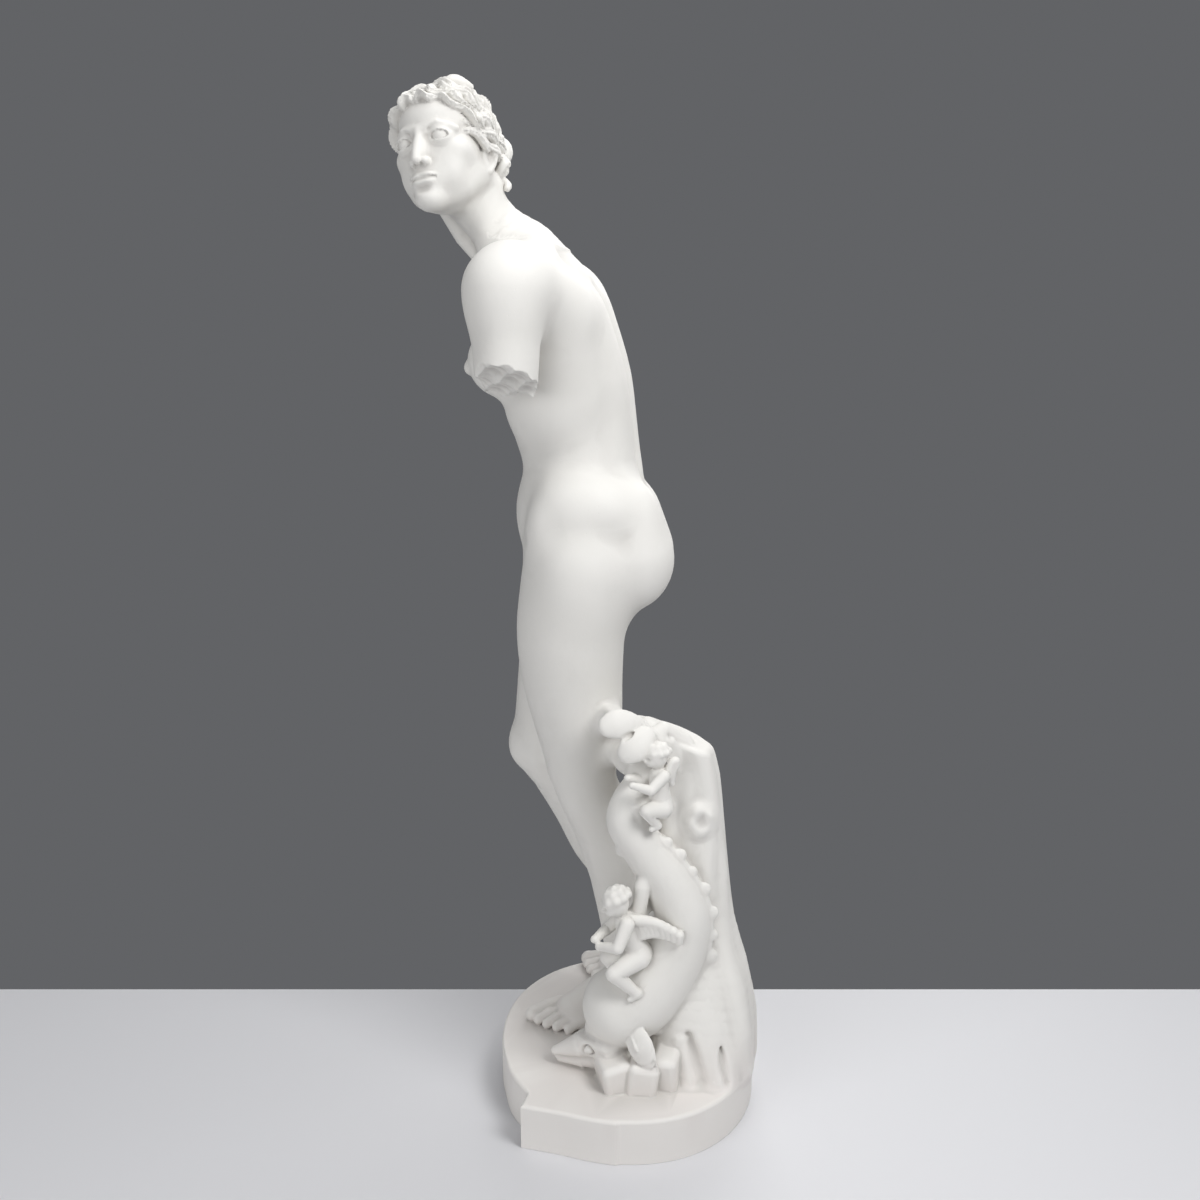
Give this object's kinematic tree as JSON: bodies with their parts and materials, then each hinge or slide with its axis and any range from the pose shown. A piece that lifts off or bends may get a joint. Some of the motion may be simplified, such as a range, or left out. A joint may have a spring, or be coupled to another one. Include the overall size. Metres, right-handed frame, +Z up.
{
  "type": "plaster statue",
  "caption": "Full-size plaster cast of a standing nude figure with broken arms, leaning forward beside a tree trunk with a diving dolphin, on a low rounded plinth.",
  "frame": {"origin": "centre of the plinth's underside", "axes": "+Z up the figure; the figure's body faces -Y and its left side is +X"},
  "size_m": [0.5193, 0.5474, 1.5308],
  "materials": {
    "plaster": "dull warm white plaster"
  },
  "bodies": {
    "root": {"statue": "plaster"}
  },
  "joints": []
}
